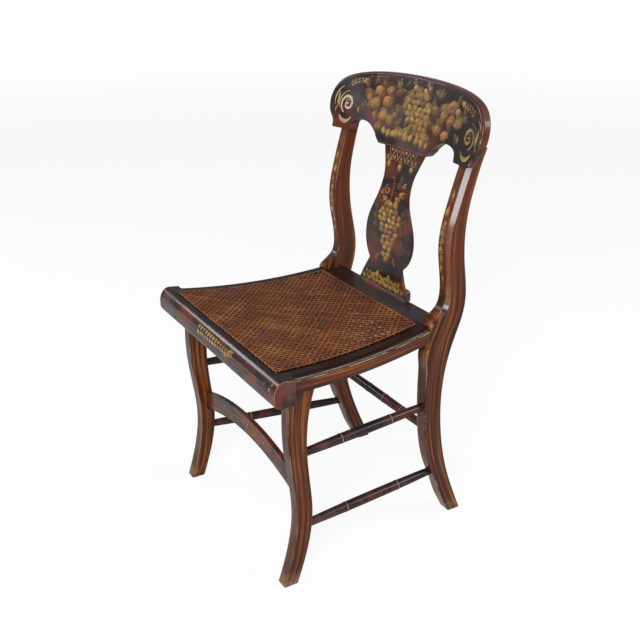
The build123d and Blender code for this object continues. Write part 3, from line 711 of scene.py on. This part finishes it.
# Shapes are drawn in millimetres on a flat page, and the page is laid on a painted surface.
class Stencil:
    def __init__(self, lay):
        self.lay = lay
        self.points, self.normals, self.faces, self.looks = [], [], [], []
        self.coat = 0

    def put(self, spots, looks, faces):
        self.coat = (self.coat + 1) % bronze["coats"]
        laid = [self.lay(u, v) for u, v in spots]
        if None in [place for place, normal in laid]:
            return
        first = len(self.points)
        for place, normal in laid:
            self.points.append(place + normal * ((bronze["lift"] + bronze["coat"] * self.coat) * mm))
            self.normals.append(normal)
        self.looks += looks
        for face in faces:
            corners = [spots[corner] for corner in face]
            area = sum(a[0] * b[1] - b[0] * a[1] for a, b in zip(corners, corners[1:] + corners[:1]))
            self.faces.append(tuple(first + corner for corner in (face if area > 0 else reversed(face))))

    # A closed shape about its middle, bright on its upper left and fading to the other side.
    def blot(self, middle, rim, tone, strength=0.9, fade=0.5):
        light = Vector(bronze["light"])
        looks = [(tone, strength, 0.85)]
        for spot in rim:
            way = Vector((spot[0] - middle[0], spot[1] - middle[1])).normalized()
            share = 0.5 + 0.5 * way.dot(light)
            looks.append((tone, strength * (1 - fade * (1 - share)), 0.12 + 0.75 * share))
        count = len(rim)
        self.put([middle, *rim], looks, [(0, k + 1, (k + 1) % count + 1) for k in range(count)])

    def ring(self, middle, long, short, turn, tone, strength=0.9, fade=0.5, sides=12):
        rim = []
        for k in range(sides):
            angle = 2 * math.pi * k / sides
            rim.append(turned(middle, long * math.cos(angle), short * math.sin(angle), turn))
        self.blot(middle, rim, tone, strength, fade)

    # Almond or drop from its stalk end: belly says how far along it is widest.
    def petal(self, stalk, long, wide, turn, tone, strength=0.9, belly=0.5, fade=0.5):
        rim, steps = [], 7
        for side in (1, -1):
            shares = range(steps) if side > 0 else range(steps, 0, -1)
            for k in shares:
                share = k / steps
                lift = math.sin(math.pi * share ** (math.log(0.5) / math.log(belly)))
                rim.append(turned(stalk, long * share, side * wide / 2 * lift, turn))
        self.blot(turned(stalk, long * belly, 0, turn), rim, tone, strength, fade)

    # A band along a line, with a width at each point.
    def band(self, line, widths, tone, strength=0.9, shade=0.8):
        spots, looks = [], []
        for k, (u, v) in enumerate(line):
            before, after = line[max(k - 1, 0)], line[min(k + 1, len(line) - 1)]
            way = Vector((after[0] - before[0], after[1] - before[1])).normalized()
            width = widths if isinstance(widths, (int, float)) else widths[k]
            for side in (1, -1):
                spots.append((u - way.y * side * width / 2, v + way.x * side * width / 2))
                looks.append((tone, strength, shade if side > 0 else shade * 0.7))
        self.put(spots, looks, [(2 * k, 2 * k + 1, 2 * k + 3, 2 * k + 2) for k in range(len(line) - 1)])

    # A scroll that winds from its outer radius in to its inner one.
    def curl(self, middle, outer, inner, start, turns, width, tone, strength=0.9, hand=1):
        steps = max(6, int(abs(turns) * 16))
        line, widths = [], []
        for k in range(steps + 1):
            share = k / steps
            angle = math.radians(start) + hand * 2 * math.pi * turns * share
            radius = outer + (inner - outer) * share
            line.append((middle[0] + radius * math.cos(angle), middle[1] + radius * math.sin(angle)))
            widths.append(width * (0.35 + 0.65 * math.sin(math.pi * min(1, share * 1.1))))
        self.band(line, widths, tone, strength)

    # Leaflets in pairs along a stem.
    def sprig(self, line, leaf, tone, strength=0.8):
        self.band(line, 0.8, tone, strength)
        for k in range(1, len(line)):
            way = math.degrees(math.atan2(line[k][1] - line[k - 1][1], line[k][0] - line[k - 1][0]))
            for side in (38, -38):
                self.petal(line[k], leaf * (1 - 0.06 * k), leaf * 0.34, way + side, tone, strength)

    # A broad leaf: two halves beside a bare vein.
    def leaf(self, stalk, long, wide, turn, tone, strength=0.7):
        for side, weight in ((1, 1.0), (-1, 0.65)):
            root = turned(stalk, 0, side * wide * 0.09, turn)
            self.petal(root, long, wide * 0.5, turn + side * 9, tone, strength * weight, 0.45)

    # Rows of grapes from the top down, each with its height, its middle and its count.
    def bunch(self, rows, grape):
        for v, middle, count in rows:
            for k in range(count):
                u = middle + (k - (count - 1) / 2) * grape["gap"] + chance.uniform(-1.6, 1.6)
                self.ring((u, v + chance.uniform(-1.4, 1.4)), grape["long"], grape["short"],
                          chance.uniform(-grape["turn"], grape["turn"]),
                          gold + chance.uniform(*grape["tone"]), chance.uniform(*grape["strength"]),
                          0.75, 10)

    def finish(self, name, slot="painted_wood"):
        piece = addMesh(name, self.points, self.faces, gilt, self.looks)
        piece.data.normals_split_custom_set_from_vertices(self.normals)
        return piece


def turned(origin, along, across, turn):
    angle = math.radians(turn)
    return (origin[0] + along * math.cos(angle) - across * math.sin(angle),
            origin[1] + along * math.sin(angle) + across * math.cos(angle))


def treeOf(name):
    return BVHTree.FromObject(nodes[name], bpy.context.evaluated_depsgraph_get())


# The page stands upright in front of the piece: u is x and v is the height.
def upright(name):
    tree = treeOf(name)
    return lambda u, v: tree.ray_cast(Vector((u * mm, -0.6, v * mm)), Vector((0, 1, 0)))[:2]


gilt = giltPaint()

crestArt = {
    "faintFruit": {"count": 34, "start": -128, "gap": 8.6, "height": 778, "sway": 36},
    "faintLeaves": {"count": 46, "start": -130, "gap": 6.6, "height": 788, "sway": 34},
    "foliage": [(-40, 812, 26, 14, 120), (-52, 800, 22, 12, 190), (-30, 822, 22, 12, 60),
                (5, 828, 20, 10, 150), (30, 829, 20, 10, 30), (62, 820, 24, 13, 20),
                (80, 812, 26, 14, 60), (72, 800, 22, 12, -30), (-40, 776, 22, 12, 200),
                (-30, 762, 22, 12, 240), (60, 772, 20, 11, -20), (66, 750, 22, 12, -60),
                (150, 766, 22, 12, -40), (165, 790, 22, 12, 20), (135, 815, 22, 12, 40),
                (-128, 770, 22, 12, 150), (-135, 803, 24, 12, 110), (-120, 815, 22, 12, 60),
                (0, 762, 18, 10, 210), (92, 738, 18, 10, -10)],
    "peaches": [(-101, 806, 13, 10, 70), (-107, 781, 14, 11, 60), (-72, 788, 14, 11, 65),
                (-101, 759, 9, 8, 40), (-78, 760, 12, 10, 75), (-56, 757, 9, 12, 0),
                (-128, 790, 8, 7, 30), (123, 806, 13, 10, 110), (106, 789, 11, 10, 80),
                (129, 783, 12, 10, 100), (155, 783, 12, 9, 80), (93, 762, 13, 9, 70),
                (121, 757, 12, 9, 80), (148, 800, 9, 8, 60)],
    "grapeRows": [(821, 18, 3), (810, 18, 4), (799, 20, 5), (788, 19, 6), (777, 22, 5), (766, 27, 5),
                  (755, 33, 4), (744, 40, 3), (733, 46, 2)],
    "grape": {"long": 8.8, "short": 6.0, "gap": 15.0, "turn": 35, "tone": (-0.2, 0.2),
              "strength": (0.6, 0.98)},
    "lowLeaves": [(-66, 726, 16, 8, 95), (-56, 724, 17, 8, 70), (-44, 728, 15, 7, 50),
                  (-26, 726, 18, 9, 110), (-17, 725, 20, 9, 88), (-6, 726, 18, 8, 66),
                  (6, 724, 18, 8, 105), (15, 726, 15, 7, 75), (40, 722, 18, 8, 100),
                  (52, 722, 18, 8, 72), (66, 724, 14, 7, 50)],
    "volutes": [(-1, -186, 771, cream), (1, 199, 768, 0.2)],  # side, place and tone
    "outer": 19,
    "inner": 4,
    "width": 5.6,
    "edgeHeight": 713.5,
}


# Waves of faint fruit and leaves that the bright ones lie on.
def crestBackground(art):
    fruit, leaves = crestArt["faintFruit"], crestArt["faintLeaves"]
    for k in range(fruit["count"]):
        x = fruit["start"] + fruit["gap"] * k
        z = fruit["height"] + fruit["sway"] * math.sin(1.9 * k + 1) - 0.0008 * x * x
        art.ring((x, z), chance.uniform(12, 20), chance.uniform(7, 11), chance.uniform(-30, 30), gold - 0.1,
                 chance.uniform(0.25, 0.6), 0.9, 12)
    for k in range(leaves["count"]):
        x = leaves["start"] + leaves["gap"] * k
        z = leaves["height"] + leaves["sway"] * math.sin(2.4 * k) - 0.0009 * x * x
        art.leaf((x, z), chance.uniform(16, 24), chance.uniform(10, 15), chance.uniform(0, 360),
                 chance.choice((olive, olive + 0.12, gold - 0.1)), chance.uniform(0.4, 0.8))


def crestFruit(art):
    for x, z, long, wide, turn in crestArt["foliage"]:
        art.leaf((x, z), long, wide, turn, olive, 0.85)
    for x, z, long, short, turn in crestArt["peaches"]:
        art.ring((x, z), long * 1.15, short, turn - 70, amber, 0.95, 0.75, 14)
        art.ring((x - 3.4, z + 2.6), long * 0.5, short * 0.4, turn - 70, gold, 0.7, 0.6, 10)
        art.petal((x, z), long * 0.95, 1.3, turn, olive, 0.8)
    art.bunch(crestArt["grapeRows"], crestArt["grape"])
    for x, z, reach, wide, turn in crestArt["lowLeaves"]:
        art.petal((x, z), reach * 1.15, wide * 1.9, turn, gold + chance.uniform(-0.1, 0.25), 0.95, 0.5, 0.5)


# A volute with its seeds, the scrolls and petals round it, and a sprig above.
def crestEnd(art, side, x, z, tone):
    outer, inner = crestArt["outer"], crestArt["inner"]
    mirrored = lambda angle: angle if side > 0 else 180 - angle
    art.curl((x, z), outer, inner, mirrored(-70), 1.35, crestArt["width"], tone, 1.15, side)
    art.curl((x, z), outer + 6, outer + 3, 90, 0.32, 2.6, tone, 0.7, -side)
    art.ring((x, z), 3.4, 2.6, 0, tone, 0.9, 0.4, 10)
    for k in (-1, 0, 1):
        art.ring((x + side * k * 4, z + 8 - abs(k) * 2), 2.1, 1.5, 0, tone, 0.7, 0.4, 8)
    art.curl((x, z - 16), 19, 18, mirrored(-25), 0.36, 8.0, max(tone, gold) - 0.1, 1.15, -side)
    art.band([(side * reach, 723) for reach in (168, 192, 216)], 0.9, cream, 0.8)
    art.petal((x + side * 26, z - 14), 36, 7, 90 - side * 2, gold, 0.85, 0.4)
    art.petal((x + side * 30, z - 22), 16, 5, 90, gold, 0.7, 0.4)
    art.curl((x + side * 6, z + 6), 29, 31, mirrored(65), 0.24, 3.6, cream if side < 0 else gold, 0.75,
             -side)
    art.petal((x - side * 34, z - 16), 15, 6, 100, gold, 0.8, 0.4)
    stem = [(x + side * (10 - 8.5 * k), z + 32 + 5.6 * k - 0.5 * k * k) for k in range(6)]
    art.sprig(stem, 12, tone * 0.8, 0.8)
    bud = (stem[-1][0] - side * 6, stem[-1][1] + 1)
    art.ring(bud, 9, 5, -side * 20, amber, 0.95, 0.5)


def paintCrest():
    art = Stencil(upright("crest_rail"))
    crestBackground(art)
    crestFruit(art)
    for side, x, z, tone in crestArt["volutes"]:
        crestEnd(art, side, x, z, tone)
    for k in range(12):
        art.ring((-134 + 5.5 * k, 829 + 0.5 * k), 1.8, 0.6, 0, cream, chance.uniform(0.2, 0.7), 0.3, 8)
    art.band([(x, crestArt["edgeHeight"]) for x in range(-72, 73, 6)], 0.9, amber, 0.75)
    art.finish("crest_stencil")


splatArt = {
    "bandTop": 709,
    "bandLow": 689,
    "drops": [(-36, 14), (0, 17), (36, 14)],
    "leaves": [(12, 650, 13, 7, 60, olive), (22, 645, 12, 6, 20, amber), (6, 640, 16, 9, 30, olive),
               (18, 628, 15, 9, 10, gold), (8, 622, 16, 8, -20, gold), (-14, 618, 15, 7, 200, gold),
               (-26, 622, 12, 6, 160, amber), (-6, 616, 14, 7, 240, gold), (10, 616, 13, 6, -50, gold)],
    "grapeRows": [(606, 0, 3), (595, 0, 4), (584, 0, 5), (573, 0, 5), (562, 0, 4), (551, 0, 4),
                  (540, 0, 3), (529, 0, 3), (518, 0, 2), (507, 0, 2), (497, 0, 1)],
    "grape": {"long": 8.8, "short": 6.2, "gap": 15, "turn": 40, "tone": (-0.1, 0.22),
              "strength": (0.7, 1.0)},
    "sideLeaves": [(590, 20), (570, 24), (552, 22)],
    "palmettes": (-55, -18.5, 18.5, 55),
    "buds": (-37, 0, 37, -74, 74),
    "lines": [(437.5, cream), (434.2, amber)],
}


# A zigzag between two lines, with a triangle in each bay and three drops below.
def splatBand(art):
    top, low = splatArt["bandTop"], splatArt["bandLow"]
    middle = (top + low) / 2
    for k in range(10):
        x, hand = -49.5 + 11 * k, 1 if k % 2 else -1
        art.band([(x - 5.5, middle + hand * 10), (x + 5.5, middle - hand * 10)], 2.0, cream - 0.3, 1.1)
        if k < 9:
            corners = [(x + 5.5, middle + hand * 1.5), (x + 0.5, middle + hand * 9),
                       (x + 10.5, middle + hand * 9)]
            art.blot((x + 5.5, middle + hand * 6.5), corners, gold, 0.85, 0.35)
    for z in (top + 1, low - 1):
        art.band([(-50 + 10 * k, z) for k in range(11)], 1.0, cream - 0.3, 0.75)
    for x, drop in splatArt["drops"]:
        art.band([(x - 7, low - 3), (x + 7, low - 3)], 1.4, gold, 0.85)
        art.petal((x, low - 5), drop, 13, -90, gold, 0.9, 0.35)


def splatBunch(art):
    art.band([(-4 + 2 * math.sin(k / 2), 652 - 5 * k) for k in range(10)], 1.5, amber, 0.85)
    art.curl((-19, 632), 10, 2, 90, 1.2, 3.0, gold, 0.85)
    art.curl((-12, 648), 9, 9, 20, 0.3, 2.0, amber, 0.8)
    for x, z, reach, wide, turn, tone in splatArt["leaves"]:
        art.leaf((x, z), reach * 1.35, wide * 1.7, turn, tone, 0.9)
    art.bunch(splatArt["grapeRows"], splatArt["grape"])
    for side in (-1, 1):
        for z, reach in splatArt["sideLeaves"]:
            art.leaf((side * 36, z), reach, 18, 90 - side * 50, olive, 0.6)
            art.leaf((side * 38, z - 6), reach, 16, -90 + side * 40, olive, 0.5)
        art.sprig([(side * (20 + 3 * k), 508 - 4 * k) for k in range(4)], 8, gold, 0.6)


def splatFoot(art):
    for x in splatArt["palmettes"]:
        for side in (-1, 1):
            art.curl((x + side * 9, 455), 10, 3.5, 90 + side * 90, 1.0, 7.2, gold, 0.95, side)
            art.petal((x + side * 3, 441), 17, 10, 90 - side * 48, gold, 0.9)
            art.ring((x + side * 8.5, 455), 2.2, 2.2, 0, amber, 0.9)
        art.petal((x, 441), 30, 15, 90, gold, 0.95, 0.62)
        art.petal((x - 1, 452), 14, 7, 90, cream, 0.6, 0.5)
    for x in splatArt["buds"]:
        art.petal((x, 442), 14, 5, 90, amber, 0.8, 0.4)
    for z, tone in splatArt["lines"]:
        art.band([(x, z) for x in range(-78, 79, 6)], 0.8, tone, 0.8)


def paintSplat():
    art = Stencil(upright("back_splat"))
    splatBand(art)
    splatBunch(art)
    splatFoot(art)
    art.finish("splat_stencil")


frontRailArt = {
    "rollMiddle": (0, -0.207, 0.403),
    "rollRadius": 23.5,
    "line": 11.5,  # how far up the roll the line and the leaves run
    "lineEnds": [(-205, -64), (92, 205)],
    "leafStart": -58,
    "leafGap": 10.5,
}


def paintFrontRail():
    tree, middle = treeOf("front_seat_rail"), Vector(frontRailArt["rollMiddle"])

    # The page wraps over the rolled edge: v runs up the roll from its front.
    def overRoll(u, v):
        angle = v / frontRailArt["rollRadius"]
        out = Vector((0, -math.cos(angle), math.sin(angle)))
        return tree.ray_cast(middle + Vector((u * mm, 0, 0)) + out * 0.06, -out)[:2]

    art, line = Stencil(overRoll), frontRailArt["line"]
    for start, end in frontRailArt["lineEnds"]:
        art.band([(start + (end - start) * k / 24, line) for k in range(25)], 0.8, cream - 0.2, 0.75)
    for side in (1, -1):
        art.band([(side * 205, line), (side * 209, 14), (side * 210, 17.5)], 0.9, cream - 0.2, 0.8)
    for k in range(13):
        x = frontRailArt["leafStart"] + frontRailArt["leafGap"] * k
        for side in (1, -1):
            art.petal((x, line + side * 0.8), 13.5 - 0.2 * k, 7.5, side * (48 - 1.5 * k),
                      gold + chance.uniform(-0.1, 0.2), chance.uniform(0.9, 1.3), 0.55)
    art.leaf((70, 12), 22, 16, 12, gold, 1.3)
    art.leaf((56, 9), 18, 12, -24, gold, 1.2)
    for side in (-1, 1):
        art.petal((side * 226, 6), 9, 6, 80, gold, 0.8)
        art.petal((side * 229, 17), 7, 4, 60, gold, 0.6)
    art.finish("front_rail_stencil")


stileArt = {
    "middle": 164.6,  # of the stile's front face, carried down to the floor
    "splay": 0.0349,
    "petals": [(681, 24, 6), (652, 22, 11), (628, 15, 11), (612, 16, 12), (597, 16, 11), (582, 15, 10),
               (566, 20, 12), (548, 24, 8), (526, 20, 6)],
    "pairedHeights": (545, 625),  # petals between these have a smaller pair beside them
}


def paintStile(side, name):
    art = Stencil(upright(name))
    low, high = stileArt["pairedHeights"]
    for k, (z, reach, wide) in enumerate(stileArt["petals"]):
        x = side * (stileArt["middle"] + z * stileArt["splay"])
        art.petal((x, z), reach, wide, -90 + side * (-1) ** k * 8, gold + chance.uniform(-0.05, 0.3),
                  0.9, 0.6)
        if low < z < high:
            for turn in (50, 130):
                art.petal((x, z - 2), 8, 3.4, turn, gold, 0.75)
    art.finish(name + "_stencil", "grained_wood")


archArt = {"low": 194.5, "drop": 35.5, "half": 195.5}  # the lower edge and its fall to the ends


def paintArch():
    art = Stencil(upright("front_stretcher"))
    bottom = lambda x: archArt["low"] - archArt["drop"] * (x / archArt["half"]) ** 2
    art.band([(x, bottom(x) + 8) for x in range(-190, 191, 8)], 0.9, amber, 0.6)
    for k in range(6):
        x = 8 + 11 * k
        for side in (-1, 1):
            art.leaf((side * x, bottom(x) + 19), 14, 8, 90 - side * (70 + 8 * k), olive + 0.1, 0.6)
    art.ring((0, bottom(0) + 19), 5, 5, 0, gold, 0.7)
    art.finish("arch_stencil")


paintCrest()
paintSplat()
paintFrontRail()
paintStile(-1, "left_rear_post")
paintStile(1, "right_rear_post")
paintArch()
print("stencils are laid on")
